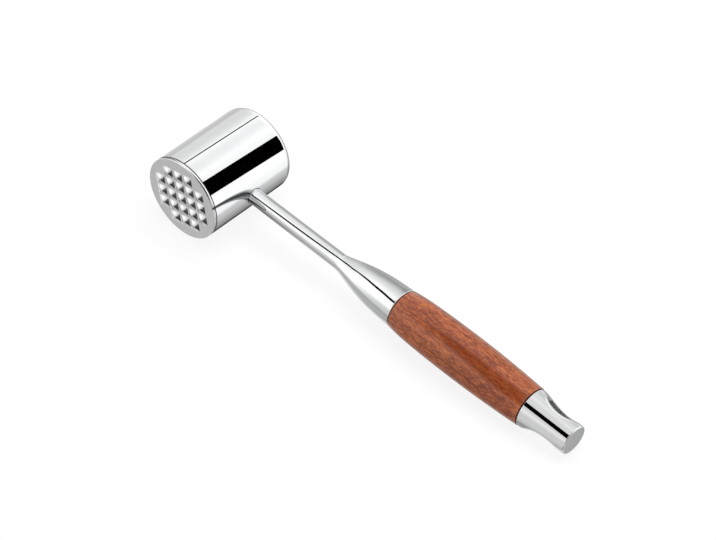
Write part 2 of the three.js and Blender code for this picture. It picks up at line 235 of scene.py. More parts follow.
def baked(piece: Piece) -> None:
    """Applies a piece's modifiers to its mesh.

    Args:
        piece: The piece.
    """
    shown = piece.evaluated_get(bpy.context.evaluated_depsgraph_get())
    mesh = bpy.data.meshes.new_from_object(shown)
    piece.modifiers.clear()
    piece.data = mesh


def carve(piece: Piece, tool: Piece) -> None:
    """Cuts a tool's solid out of a piece and removes the tool.

    Args:
        piece: The piece that is cut.
        tool: The solid to take away.
    """
    cut = piece.modifiers.new("cut", "BOOLEAN")
    cut.operation, cut.solver, cut.object = "DIFFERENCE", "EXACT", tool
    baked(piece)
    bpy.data.objects.remove(tool)


def smooth(piece: Piece, sharp_angle: float = 32.0) -> None:
    """Shades a piece smooth between its sharp edges, with the large faces keeping their own light.

    Args:
        piece: The piece.
        sharp_angle: Edges sharper than this many degrees stay sharp.
    """
    piece.data.polygons.foreach_set("use_smooth", [True] * len(piece.data.polygons))
    piece.data.set_sharp_from_angle(angle=math.radians(sharp_angle))
    weighted = piece.modifiers.new("weighted", "WEIGHTED_NORMAL")
    weighted.mode, weighted.keep_sharp = "FACE_AREA", True
    baked(piece)


def soft_min(one: np.ndarray, two: np.ndarray, blend: float) -> np.ndarray:
    """Gives the lower of two values, rounded where they differ by less than the blend."""
    near = np.maximum(blend - np.abs(one - two), 0) / blend
    return np.minimum(one, two) - near * near * blend / 4


# Nodes

class Graph:
    """A node tree while it is filled."""

    def __init__(self, tree: bpy.types.NodeTree) -> None:
        """Keeps the tree."""
        self.tree = tree

    def join(self, value: object, entry: Socket) -> None:
        """Feeds an input.

        Args:
            value: The socket it is joined to, or a plain value.
            entry: The input.
        """
        if isinstance(value, Socket):
            self.tree.links.new(value, entry)
        else:
            entry.default_value = value

    def node(self, kind: str, values: dict | None = None, **settings: object) -> bpy.types.Node:
        """Adds a node.

        Args:
            kind: Its type, without the ShaderNode that the names of all types start with.
            values: For each input by name or number, a value or the socket it is joined to.
            **settings: Its own settings.

        Returns:
            The node.
        """
        made = self.tree.nodes.new("ShaderNode" + kind)
        for name, value in settings.items():
            setattr(made, name, value)
        for key, value in (values or {}).items():
            self.join(value, made.inputs[key])
        return made

    def math(self, operation: str, *values: object) -> Socket:
        """Adds a sum of one kind, by Blender's name of it, and gives its result."""
        return self.node("Math", dict(enumerate(values)), operation=operation).outputs[0]

    def vector(self, operation: str, *values: object) -> Socket:
        """Adds a sum of one kind on vectors, by Blender's name of it, and gives its result."""
        made = self.node("VectorMath", dict(enumerate(values)), operation=operation)
        return made.outputs["Value" if operation == "DOT_PRODUCT" else "Vector"]

    def blend(self, share: object, low: object, high: object) -> Socket:
        """Mixes two colours, by the share of the second."""
        return self.node("Mix", {0: share, 6: low, 7: high}, data_type="RGBA").outputs[2]

    def mixed(self, share: Socket, low: Socket, high: Socket) -> Socket:
        """Mixes two shaders, by the share of the second."""
        return self.node("MixShader", {0: share, 1: low, 2: high}).outputs[0]

    def ranged(self, value: Socket, start: float, end: float, low: object = 0.0, high: object = 1.0,
               curve: str = "LINEAR") -> Socket:
        """Spreads a value's range, start to end, over low to high, along Blender's curve of that name."""
        return self.node("MapRange", {
            "Value": value, "From Min": start, "From Max": end, "To Min": low, "To Max": high,
        }, interpolation_type=curve).outputs[0]

    def effect(self, shared: bpy.types.NodeTree, values: dict | None = None) -> Socket:
        """Places a shared effect with its own values, and gives what it puts out."""
        return self.node("Group", values, node_tree=shared).outputs[0]


class Effect(Graph):
    """A shared node group while it is filled, with named inputs and one named output."""

    def __init__(self, name: str, inputs: dict[str, float | None], output: str = "Value",
                 kind: str = "Float") -> None:
        """Starts the group.

        Args:
            name: The group's name.
            inputs: For each number, its value when nothing is joined. For each place, None.
            output: The output's name.
            kind: The output's kind, Float or Vector.
        """
        super().__init__(bpy.data.node_groups.new(name, "ShaderNodeTree"))
        for label, value in inputs.items():
            socket = "NodeSocketVector" if value is None else "NodeSocketFloat"
            made = self.tree.interface.new_socket(label, in_out="INPUT", socket_type=socket)
            if value is not None:
                made.default_value = value
        self.tree.interface.new_socket(output, in_out="OUTPUT", socket_type="NodeSocket" + kind)
        self.given = self.tree.nodes.new("NodeGroupInput").outputs

    def done(self, value: Socket) -> bpy.types.NodeTree:
        """Joins what the group puts out, and gives the group."""
        self.join(value, self.tree.nodes.new("NodeGroupOutput").inputs[0])
        return self.tree

    def noise(self, detail: float, **values: float) -> Socket:
        """Adds noise in patches of the size that the group's inputs name."""
        values |= {"Vector": self.given["Place"], "Scale": self.math("DIVIDE", 1.0, self.given["Patch"])}
        return self.node("TexNoise", {"Detail": detail} | values).outputs[0]


class Effects:
    """The effects that several finishes share, each built once."""

    def __init__(self) -> None:
        """Builds the groups."""
        self.place, self.streaks = self._place(), self._streaks()
        self.mottle, self.wear = self._mottle(), self._wear()

    @staticmethod
    def _place() -> bpy.types.NodeTree:
        """Gives the place on a piece in millimetres, in the mallet's own frame.

        Returns:
            The group.
        """
        group = Effect("Place On Mallet", {}, "Place", "Vector")
        own = group.node("Mapping", {
            "Vector": group.node("TexCoord").outputs["Object"],
            "Location": [c * MM for c in REST.head_centre],
            "Rotation": (0, REST.lean, 0),
            "Scale": (MM, MM, MM),
        }, vector_type="TEXTURE")
        return group.done(own.outputs[0])

    @staticmethod
    def _streaks() -> bpy.types.NodeTree:
        """Gives a value that changes slowly along X and quickly across it.

        Returns:
            The group.
        """
        group = Effect("Streaks", {"Place": None, "Length": 20.0, "Width": 1.0, "Detail": 4.0, "Waver": 0.0})
        along, across = (group.math("DIVIDE", 1.0, group.given[name]) for name in ("Length", "Width"))
        scale = group.node("CombineXYZ", {0: along, 1: across, 2: across}).outputs[0]
        noise = group.node("TexNoise", {
            "Vector": group.vector("MULTIPLY", group.given["Place"], scale), "Scale": 1.0,
            "Detail": group.given["Detail"], "Roughness": 0.62, "Distortion": group.given["Waver"],
        })
        return group.done(noise.outputs[0])

    @staticmethod
    def _mottle() -> bpy.types.NodeTree:
        """Gives a value that wanders between two others in patches of one size.

        Returns:
            The group.
        """
        group = Effect("Mottle", {"Place": None, "Patch": 5.0, "Low": 0.0, "High": 1.0})
        noise = group.noise(5.0, Roughness=0.6)
        return group.done(group.ranged(noise, 0.32, 0.68, group.given["Low"], group.given["High"]))

    @staticmethod
    def _wear() -> bpy.types.NodeTree:
        """Gives a mask of the outer edges, which hands and cloths rub.

        Returns:
            The group.
        """
        group = Effect("Edge Wear", {"Place": None, "Amount": 0.5, "Patch": 3.0}, "Mask")
        outward = group.node("NewGeometry").outputs["Pointiness"]
        edge = group.ranged(outward, 0.52, 0.62, high=group.given["Amount"])
        return group.done(group.math("MULTIPLY", edge, group.noise(3.0)))


# Finishes

class Coat(Graph):
    """A material while it is filled, with the shared effects at hand."""

    def __init__(self, name: str, effects: Effects) -> None:
        """Starts the material.

        Args:
            name: Its name.
            effects: The shared effects.
        """
        self.material = bpy.data.materials.new(name)
        self.material.use_nodes = True
        super().__init__(self.material.node_tree)
        self.tree.nodes.clear()
        self.effects = effects
        self.place = self.effect(effects.place)
        self.shader = self.node("BsdfPrincipled")

    def mottle(self, patch: float, low: float = 0.0, high: float = 1.0) -> Socket:
        """Places the shared mottle: its patches' size and its two values."""
        values = {"Place": self.place, "Patch": patch, "Low": low, "High": high}
        return self.effect(self.effects.mottle, values)

    def streaks(self, length: float, width: float, detail: float = 4.0, waver: float = 0.0) -> Socket:
        """Places the shared streaks: their length, width, detail and waver."""
        values = {"Place": self.place, "Length": length, "Width": width, "Detail": detail, "Waver": waver}
        return self.effect(self.effects.streaks, values)

    def wear(self, amount: float, patch: float = 3.0) -> Socket:
        """Places the shared edge wear: how much there is, and in what patches."""
        return self.effect(self.effects.wear, {"Place": self.place, "Amount": amount, "Patch": patch})

    def stored(self, name: str) -> Socket:
        """Reads a value that the points of a mesh store."""
        return self.node("Attribute", attribute_name=name).outputs["Fac"]

    def bump(self, height: Socket, strength: float, depth: float, under: Socket | None = None) -> Socket:
        """Raises the surface by a height.

        Args:
            height: The height.
            strength: How much of it shows.
            depth: What a height of 1 stands for.
            under: The normal of a coarser bump that this one lies on.

        Returns:
            The normal.
        """
        values = {"Height": height, "Strength": strength, "Distance": depth * MM}
        if under is not None:
            values["Normal"] = under
        return self.node("Bump", values).outputs[0]


@dataclass(frozen=True)
class Finish:
    """A finish of two tones that mingle in patches, with a roughness that wanders between two values."""

    name: str
    colour: Colour
    other_colour: Colour | None = None
    tone_patch: float = 1.0
    rough_patch: float = 1.0
    smoothest: float = 0.5
    roughest: float = 0.5
    metallic: float = 0.0
    specular: float = 0.5
    coat_weight: float = 0.0
    coat_roughness: float = 0.03
    coat_ior: float = 1.5

    def tint(self, coat: Coat) -> object:
        """Gives the colour, which is plain where there is no other tone.

        Args:
            coat: The material.

        Returns:
            The colour or its socket.
        """
        if self.other_colour is None:
            return self.colour
        return coat.blend(coat.mottle(self.tone_patch), self.colour, self.other_colour)

    def roughness(self, coat: Coat) -> Socket:
        """Gives the roughness."""
        return coat.mottle(self.rough_patch, self.smoothest, self.roughest)

    def normal(self, coat: Coat) -> Socket | None:
        """Gives the normal of the fine relief, where there is one."""
        return None

    def surface(self, coat: Coat) -> Socket:
        """Gives the shader that is seen."""
        return coat.shader.outputs[0]

    def material(self, effects: Effects) -> bpy.types.Material:
        """Builds the finish.

        Args:
            effects: The shared effects.

        Returns:
            The material.
        """
        coat = Coat(self.name, effects)
        values = {
            "Base Color": self.tint(coat), "Roughness": self.roughness(coat), "Normal": self.normal(coat),
            "Metallic": self.metallic, "Specular IOR Level": self.specular, "Coat Weight": self.coat_weight,
            "Coat Roughness": self.coat_roughness, "Coat IOR": self.coat_ior,
        }
        for name, value in values.items():
            if value is not None:
                coat.join(value, coat.shader.inputs[name])
        coat.node("OutputMaterial", {"Surface": self.surface(coat)})
        return coat.material


@dataclass(frozen=True)
class PolishedSteel(Finish):
    """Mirror-polished stainless steel with faint haze, hairlines that dull it, and rubbed edges."""

    name: str = "mirror polished steel"
    colour: Colour = (0.86, 0.865, 0.87, 1)
    other_colour: Colour = (0.83, 0.835, 0.845, 1)
    tone_patch: float = 9.0
    rough_patch: float = 3.0
    smoothest: float = 0.015
    roughest: float = 0.035
    metallic: float = 1.0
    rubbed: float = 0.10
    hairline: float = 0.02

    def roughness(self, coat: Coat) -> Socket:
        """Adds the rubbed edges and the hairlines to the haze."""
        lines = coat.ranged(coat.streaks(14.0, 0.25, 2.0), 0.6, 0.75, high=self.hairline)
        return coat.math("ADD", coat.math("ADD", super().roughness(coat), coat.wear(self.rubbed)), lines)


@dataclass(frozen=True)
class SatinSteel(Finish):
    """Fine blasted and lightly brushed stainless steel, brighter where meat and boards rub it.

    A bump of the rise that the plate's mesh stores shows its studs a little steeper than they are.
    """

    name: str = "satin steel"
    colour: Colour = (0.97, 0.97, 0.975, 1)
    other_colour: Colour = (0.9021, 0.9021, 0.90675, 1)
    rubbed_colour: Colour = (0.99, 0.99, 0.99, 1)
    tone_patch: float = 6.0
    rough_patch: float = 1.6
    smoothest: float = 0.09
    roughest: float = 0.14
    metallic: float = 1.0
    grit: float = 0.35
    grit_depth: float = 0.02
    extra_rise: float = 0.35

    def tint(self, coat: Coat) -> Socket:
        """Brightens the rubbed edges."""
        return coat.blend(coat.wear(1.0, 2.0), super().tint(coat), self.rubbed_colour)

    def normal(self, coat: Coat) -> Socket:
        """Gives the grit and the brushing, on the studs' extra rise.

        Args:
            coat: The material.

        Returns:
            The normal.
        """
        brushing = coat.math("MULTIPLY", coat.streaks(6.0, 0.3), 0.4)
        relief = coat.math("MULTIPLY_ADD", coat.mottle(self.grit), 0.6, brushing)
        return coat.bump(relief, 0.35, self.grit_depth, coat.bump(coat.stored("rise"), 1.0, self.extra_rise))


@dataclass(frozen=True)
class MachinedSteel(Finish):
    """Plain turned steel of the hidden screws and washers, with tool marks and a trace of oil."""

    name: str = "machined steel"
    colour: Colour = (0.56, 0.57, 0.58, 1)
    other_colour: Colour = (0.42, 0.41, 0.39, 1)
    tone_patch: float = 2.5
    rough_patch: float = 1.2
    smoothest: float = 0.34
    roughest: float = 0.52
    metallic: float = 1.0
    mark_pitch: float = 0.4
    mark_depth: float = 0.03

    def normal(self, coat: Coat) -> Socket:
        """Gives the tool marks."""
        marks = coat.node("TexWave", {
            "Vector": coat.place, "Scale": 1 / self.mark_pitch / math.tau, "Distortion": 1.5, "Detail": 2.0,
        }, wave_type="BANDS", bands_direction="DIAGONAL")
        return coat.bump(marks.outputs["Fac"], 0.4, self.mark_depth)


@dataclass(frozen=True)
class CastIron(Finish):
    """Grey cast iron of the head's weight: a grainy skin with darker pits."""

    name: str = "cast iron"
    colour: Colour = (0.30, 0.30, 0.31, 1)
    other_colour: Colour = (0.13, 0.125, 0.12, 1)
    tone_patch: float = 0.8
    rough_patch: float = 3.0
    smoothest: float = 0.55
    roughest: float = 0.75
    metallic: float = 0.85
    grain_depth: float = 0.12

    def normal(self, coat: Coat) -> Socket:
        """Gives the grain and the pits."""
        pits = coat.node("TexVoronoi", {"Vector": coat.place, "Scale": 1 / self.tone_patch}).outputs[0]
        return coat.bump(coat.math("ADD", coat.mottle(self.tone_patch), pits), 0.5, self.grain_depth)


@dataclass(frozen=True)
class SealRubber(Finish):
    """Matt black rubber with a faint bloom."""

    name: str = "seal rubber"
    colour: Colour = (0.012, 0.011, 0.011, 1)
    other_colour: Colour = (0.035, 0.033, 0.032, 1)
    tone_patch: float = 1.5
    rough_patch: float = 0.7
    smoothest: float = 0.62
    roughest: float = 0.85
    bloom_depth: float = 0.02

    def normal(self, coat: Coat) -> Socket:
        """Gives the bloom's relief."""
        return coat.bump(coat.mottle(self.tone_patch), 0.2, self.bloom_depth)


@dataclass(frozen=True)
class PaintedJointShade(Finish):
    """Painted shade: near-black in the narrow joint of the head's rim and on its rounded lips."""

    name: str = "joint residue"
    colour: Colour = (0.012, 0.012, 0.013, 1)
    other_colour: Colour = (0.03, 0.03, 0.032, 1)
    tone_patch: float = 1.2
    rough_patch: float = 0.6
    smoothest: float = 0.6
    roughest: float = 0.8
    specular: float = 0.2


@dataclass(frozen=True)
class RedHardwood(Finish):
    """Oiled reddish-brown hardwood: long fibres, darker growth bands and short open pores, with a painted
    reflection of a dark stripe along one side.
    """

    name: str = "red hardwood"
    colour: Colour = (0.33, 0.068, 0.013, 1)
    dark: Colour = (0.18, 0.028, 0.004, 1)
    light: Colour = (0.52, 0.142, 0.036, 1)
    pore: Colour = (0.09, 0.018, 0.008, 1)
    rough_patch: float = 4.0
    smoothest: float = 0.36
    roughest: float = 0.48
    specular: float = 0.2
    coat_weight: float = 1.0
    coat_roughness: float = 0.12
    coat_ior: float = 1.48
    tone_stops: Triple = (0.485, 0.575, 0.665)
    band_width: float = 5.0
    # The painted band: a painted reflection of the dark stripe, darkest on the side that faces this turn
    # round the grip.
    painted_band_turn: float = math.radians(121)
    painted_band_half: float = math.radians(19)
    painted_band_start: float = 140.0
    painted_band_full: float = 178.0
    painted_band_share: float = 0.6
    fray: float = 0.12
    fibre_width: float = 0.8
    pore_depth: float = 0.06

    def fibres(self, coat: Coat) -> Socket:
        """Gives the long fibres."""
        return coat.streaks(4.5, self.fibre_width, 3.0, 0.2)

    def hairs(self, coat: Coat) -> Socket:
        """Gives the short hairs between the fibres, at the share at which they show."""
        return coat.math("MULTIPLY", coat.streaks(2.2, 0.5, 2.0), 0.35)

    def pores(self, coat: Coat) -> Socket:
        """Gives the short open pores."""
        return coat.ranged(coat.streaks(2.6, 0.3, 1.0), 0.58, 0.70, high=0.7)

    def painted_band(self, coat: Coat) -> Socket:
        """Masks the painted band: a painted reflection of the dark stripe on one side of the grip, which
        widens towards its rear.

        Args:
            coat: The material.

        Returns:
            The mask.
        """
        outward = coat.vector("NORMALIZE", coat.vector("MULTIPLY", coat.place, (0, 1, 1)))
        middle = (0, math.cos(self.painted_band_turn), math.sin(self.painted_band_turn))
        facing = coat.vector("DOT_PRODUCT", outward, middle)
        frayed = coat.math("MULTIPLY_ADD", coat.math("SUBTRACT", self.fibres(coat), 0.5), self.fray, facing)
        edge, core = math.cos(self.painted_band_half), math.cos(self.painted_band_half / 3)
        x = coat.node("SeparateXYZ", {0: coat.place}).outputs[0]
        along = coat.ranged(x, self.painted_band_start, self.painted_band_full, curve="SMOOTHSTEP")
        return coat.math("MULTIPLY", coat.ranged(frayed, edge, core, curve="SMOOTHSTEP"), along)

    def tint(self, coat: Coat) -> Socket:
        """Gives the figure of bands, fibres and hairs, with the painted band of the stripe's reflection, the
        pores and worn ends.

        Args:
            coat: The material.

        Returns:
            The colour.
        """
        bands = coat.math("MULTIPLY", coat.streaks(60.0, self.band_width, 3.0, 0.5), 0.3)
        figure = coat.math("MULTIPLY_ADD", self.fibres(coat), 0.5, bands)
        ramp = coat.node("ValToRGB", {"Fac": coat.math("ADD", figure, self.hairs(coat))})
        first, last = ramp.color_ramp.elements
        first.position, between, last.position = self.tone_stops
        first.color, last.color = self.dark, self.light
        ramp.color_ramp.elements.new(between).color = self.colour
        # Painted reflection: one side of the grip is darkened towards the dark wood colour.
        painted_band = coat.math("MULTIPLY", self.painted_band(coat), self.painted_band_share)
        tint = coat.blend(self.pores(coat), coat.blend(painted_band, ramp.outputs[0], self.dark), self.pore)
        return coat.blend(coat.wear(0.5, 6.0), tint, self.dark)

    def normal(self, coat: Coat) -> Socket:
        """Gives the raised hairs and the open pores."""
        relief = coat.math("SUBTRACT", self.hairs(coat), self.pores(coat))
        return coat.bump(relief, 0.5, self.pore_depth)


@dataclass(frozen=True)
class PaleFloor(Finish):
    """A white floor that the camera sees almost evenly lit, with the mallet's shadow kept."""

    name: str = "pale floor"
    colour: Colour = (0.93, 0.93, 0.93, 1)
    rough_patch: float = 30.0
    smoothest: float = 0.85
    roughest: float = 0.95
    specular: float = 0.0
    evenness: float = 0.87

    def surface(self, coat: Coat) -> Socket:
        """Gives the floor with an even white over it, for the camera alone.

        Args:
            coat: The material.

        Returns:
            The shader.
        """
        share = coat.math("MULTIPLY", coat.node("LightPath").outputs["Is Camera Ray"], self.evenness)
        glow = coat.node("Emission", {"Color": WHITE, "Strength": 1.0}).outputs[0]
        return coat.mixed(share, super().surface(coat), glow)


@dataclass(frozen=True)
class BlackCard(Finish):
    """The black card and the grey gauze of the flags, which paint reflected stripes and shade, each shown
    only in what it hangs over.
    """

    name: str = "black card"
    colour: Colour = (0.0, 0.0, 0.0, 1)
    rough_patch: float = 5.0
    smoothest: float = 0.9
    roughest: float = 1.0
    specular: float = 0.0

    def surface(self, coat: Coat) -> Socket:
        """Gives the card, as dark and as far seen as the card's own points store.

        Args:
            coat: The material.

        Returns:
            The shader.
        """
        near = coat.math("LESS_THAN", coat.node("LightPath").outputs["Ray Length"], coat.stored("reach"))
        share = coat.math("MULTIPLY", coat.stored("darkness"), near)
        return coat.mixed(share, coat.node("BsdfTransparent").outputs[0], super().surface(coat))


class Finishes:
    """Every finish of the mallet and its studio, each built once."""

    def __init__(self) -> None:
        """Builds the shared effects and the materials."""
        effects = Effects()
        kinds = {
            Slot.POLISHED: PolishedSteel, Slot.SATIN: SatinSteel, Slot.MACHINED: MachinedSteel,
            Slot.IRON: CastIron, Slot.RUBBER: SealRubber, Slot.WOOD: RedHardwood,
        }
        self.slots = {slot: kind().material(effects) for slot, kind in kinds.items()}
        self.floor = PaleFloor().material(effects)
        self.card = BlackCard().material(effects)
        self.painted_shade = PaintedJointShade().material(effects)

    def dress(self, piece: Piece, slot: Slot, *nodes: str) -> None:
        """Shades a new piece, gives it its finish and joins it to the frame.

        Args:
            piece: The piece.
            slot: The record's slot that it takes its finish from.
            *nodes: The CAD nodes that it stands for.
        """
        smooth(piece)
        piece.data.materials.clear()
        piece.data.materials.append(self.slots[slot])
        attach(piece, "root")
        if nodes:
            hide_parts(*nodes)
        log.info("%s: %d faces, %s", piece.name, len(piece.data.polygons), slot.value)

    def recoat(self, piece: Piece, coat: bpy.types.Material,
               chosen: Callable[[np.ndarray], np.ndarray]) -> None:
        """Gives some faces of a dressed piece another finish.

        Args:
            piece: The piece.
            coat: The other finish.
            chosen: Picks faces by their middles in the mallet's own frame.
        """
        picked = np.zeros(len(piece.data.polygons), np.int32)
        piece.data.polygons.foreach_get("material_index", picked)
        middles = REST.own(np.array([face.center for face in piece.data.polygons]))
        picked[chosen(middles)] = len(piece.data.materials)
        piece.data.materials.append(coat)
        piece.data.polygons.foreach_set("material_index", picked)

    def dress_nodes(self, slot: Slot, *nodes: str) -> None:
        """Gives CAD nodes that stay as they are a procedural finish.

        Args:
            slot: The record's slot that they take their finish from.
            *nodes: The nodes' names.
        """
        for node in nodes:
            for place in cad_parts[node].material_slots:
                place.material = self.slots[slot]
            log.info("%s: kept, %s", node, slot.value)


# Sub-assemblies

@dataclass
class MalletHead:
    """The weighted head: a polished cup, closed at its smooth face, and a studded plate."""

    radius: float = 23.985
    face_reach: float = 29.7
    back_reach: float = 29.7
    wall: float = 1.5
    back_wall: float = 2.5
    corner: float = 5.5
    inner_corner: float = 3.0
    hole_radius: float = 4.65
    hole_reach: float = 30.0
    joint_depth: float = 0.45
    joint_edge: float = 0.18
    joint_reach: float = 2.45
    skin: float = 0.001
    flange: float = 1.8
    flange_edge: float = 0.2
    spigot: float = 5.0
    spigot_radius: float = 22.2
    seal_groove_width: float = 2.2
    seal_groove_radius: float = 20.3
    seat_gap: float = 0.3
    socket_radius: float = 4.3
    socket_floor: float = -26.7
    stud_pitch: float = 7.18
    stud_height: float = 1.19
    stud_tip: float = 0.5
    stud_root_gap: float = 0.15
    stud_softness: float = 0.35
    tip_blend: float = 0.1
    ridge_blend: float = 0.15
    pattern_turn: float = math.radians(15.1)
    pattern_reach: int = 2
    sides: int = 360
    hole_sides: int = 96
    plate_cells: int = 240

    def shell_outline(self) -> Outline:
        """Gives the cup's outline, from its mouth round the outside and back inside.

        Returns:
            The outline.
        """
        mouth = -self.face_reach + self.flange + self.seat_gap
        inner, edge, corner = self.radius - self.wall, self.joint_edge, self.corner
        floor, small = self.back_reach - self.back_wall, self.inner_corner
        return [
            (inner, mouth),
            *arc((self.radius - edge, mouth + edge), edge, -90, 0, 4),
            *arc((self.radius - corner, self.back_reach - corner), corner, 0, 90, 24),
            (0, self.back_reach),
            (0, floor),
            *arc((inner - small, floor - small), small, 90, 0, 8),
            (inner, mouth),
        ]

    def side_radius(self, place: float) -> float:
        """Gives the head's radius at a place along it, rounded corner and all."""
        into = max(0.0, min(place - (self.back_reach - self.corner), self.corner))
        return self.radius - self.corner + math.sqrt(self.corner ** 2 - into ** 2)

    def build_shell(self) -> Piece:
        """Builds the cup with the hole that the stem enters.

        Returns:
            The cup.
        """
        shell = turned_solid("head_cup", self.shell_outline(), self.sides, Axis.HEAD)
        drill = [(0, 0), (self.hole_radius, 0), (self.hole_radius, self.hole_reach), (0, self.hole_reach)]
        carve(shell, turned_solid("drill", drill, self.hole_sides, Axis.HANDLE))
        return shell

    def stud_relief(self, across: np.ndarray, up: np.ndarray) -> np.ndarray:
        """Gives the height of the studs over the plate.

        Args:
            across: Places along the rows, in the pattern's own directions.
            up: Places across the rows.

        Returns:
            The heights.
        """
        steps = range(-self.pattern_reach, self.pattern_reach + 1)
        cells = [(i, j) for i in steps for j in steps if abs(i) + abs(j) < 2 * self.pattern_reach]
        foot = (self.stud_pitch - self.stud_root_gap) / 2
        run = foot - self.stud_tip / 2
        height = np.zeros_like(across)
        for i, j in cells:
            off_centre = (across - i * self.stud_pitch, up - j * self.stud_pitch)
            sides = np.clip([soft_min((foot - off) / run, (foot + off) / run, self.tip_blend)
                             for off in off_centre], 0, 1)
            pyramid = np.clip(soft_min(sides[0], sides[1], self.ridge_blend), 0, 1)
            swells = sides ** 2 * (3 - 2 * sides)
            height = np.maximum(height, pyramid + (swells[0] * swells[1] - pyramid) * self.stud_softness)
        return height * self.stud_height

    def build_plate(self) -> Piece:
        """Builds the studded plate with its flange, spigot, seal groove and socket.

        Its front is a square grid that is drawn round, whose border the turned outline goes on from.

        Returns:
            The plate.
        """
        n = self.plate_cells
        rim = self.radius - self.flange_edge
        a, b = np.meshgrid(np.linspace(-1, 1, n + 1), np.linspace(-1, 1, n + 1), indexing="ij")
        wide = np.abs(a) > np.abs(b)
        long_way = np.where(wide, a, b)
        safe = np.where(long_way == 0, 1, long_way)
        angle = np.where(wide, math.pi / 4 * b / safe, math.pi / 2 - math.pi / 4 * a / safe)
        x, z = rim * long_way * np.cos(angle), rim * long_way * np.sin(angle)
        cos, sin = math.cos(self.pattern_turn), math.sin(self.pattern_turn)
        relief = self.stud_relief(x * cos + z * sin, z * cos - x * sin)
        top = np.stack([x, -self.face_reach - relief, z], -1).reshape(-1, 3)

        front, radius, edge = -self.face_reach, self.radius, self.joint_edge
        flange_back = front + self.flange
        spigot_back = flange_back + self.spigot
        seal, groove = flange_back + self.spigot / 2, self.seal_groove_width / 2
        outline = [
            *arc((rim, front + self.flange_edge), self.flange_edge, -90, 0, 8)[1:],
            *arc((radius - edge, flange_back - edge), edge, 0, 90, 4),
            (radius - self.joint_depth, flange_back), (self.spigot_radius, flange_back),
            (self.spigot_radius, seal - groove), (self.seal_groove_radius, seal - groove),
            (self.seal_groove_radius, seal + groove), (self.spigot_radius, seal + groove),
            (self.spigot_radius, spigot_back), (self.socket_radius, spigot_back),
            (self.socket_radius, self.socket_floor),
        ]
        steps = np.arange(4 * n)
        turn = -math.pi / 4 + steps * math.tau / (4 * n)
        rows = [around(r, y, turn, Axis.HEAD) for r, y in outline]
        first = len(top)
        points = np.concatenate([top, *rows, [(0, self.socket_floor, 0)]])
        faces = grid_faces(n + 1, n + 1, closed=False)
        faces += grid_faces(len(rows), 4 * n, closed=True, start=first)
        border = np.select([steps < n, steps < 2 * n, steps < 3 * n],
                           [n * (n + 1) + steps, (2 * n - steps) * (n + 1) + n, 3 * n - steps],
                           (steps - 3 * n) * (n + 1))
        last, centre = first + (len(rows) - 1) * 4 * n, len(points) - 1
        for k in range(4 * n):
            after = (k + 1) % (4 * n)
            faces.append((int(border[k]), int(border[after]), first + after, first + k))
            faces.append((last + k, last + after, centre))
        plate = solid_object("studded_plate", points, faces)
        store(plate.data, "rise", np.pad(relief.ravel(), (0, len(points) - first)))
        return plate

    def on_rim(self, points: np.ndarray) -> np.ndarray:
        """Tells which points lie on the plate's polished rim, its rounded edge with it."""
        return np.hypot(points[:, 0], points[:, 2]) > self.radius - self.flange_edge

    def in_joint(self, points: np.ndarray) -> np.ndarray:
        """Tells which points lie in the rim's joint or on its two rounded lips, where the painted shade goes.

        Args:
            points: Points in the mallet's own frame.

        Returns:
            True for each point that does.
        """
        radius, behind = np.hypot(points[:, 0], points[:, 2]), points[:, 1] + self.face_reach
        below = (radius < self.radius - self.skin) & (radius > self.radius - self.joint_reach)
        back = self.flange + self.seat_gap + self.joint_edge
        return below & (behind > self.flange - self.joint_edge) & (behind < back)

    def build(self, finishes: Finishes) -> None:
        """Builds and dresses the head.

        Args:
            finishes: The finishes.
        """
        shell, plate = self.build_shell(), self.build_plate()
        finishes.dress(shell, Slot.POLISHED, "head_shell")
        # Painted shade: the joint of the cup's rim takes a near-black finish.
        finishes.recoat(shell, finishes.painted_shade, self.in_joint)
        finishes.dress(plate, Slot.SATIN, "studded_face")
        finishes.recoat(plate, finishes.slots[Slot.POLISHED], self.on_rim)
        # Painted shade: the plate's side of the joint takes the same near-black finish.
        finishes.recoat(plate, finishes.painted_shade, self.in_joint)
        finishes.dress_nodes(Slot.IRON, "head_core")
        finishes.dress_nodes(Slot.RUBBER, "face_seal", "stem_seal")
        finishes.dress_nodes(Slot.MACHINED, "face_stud", "stem_lock_screw")


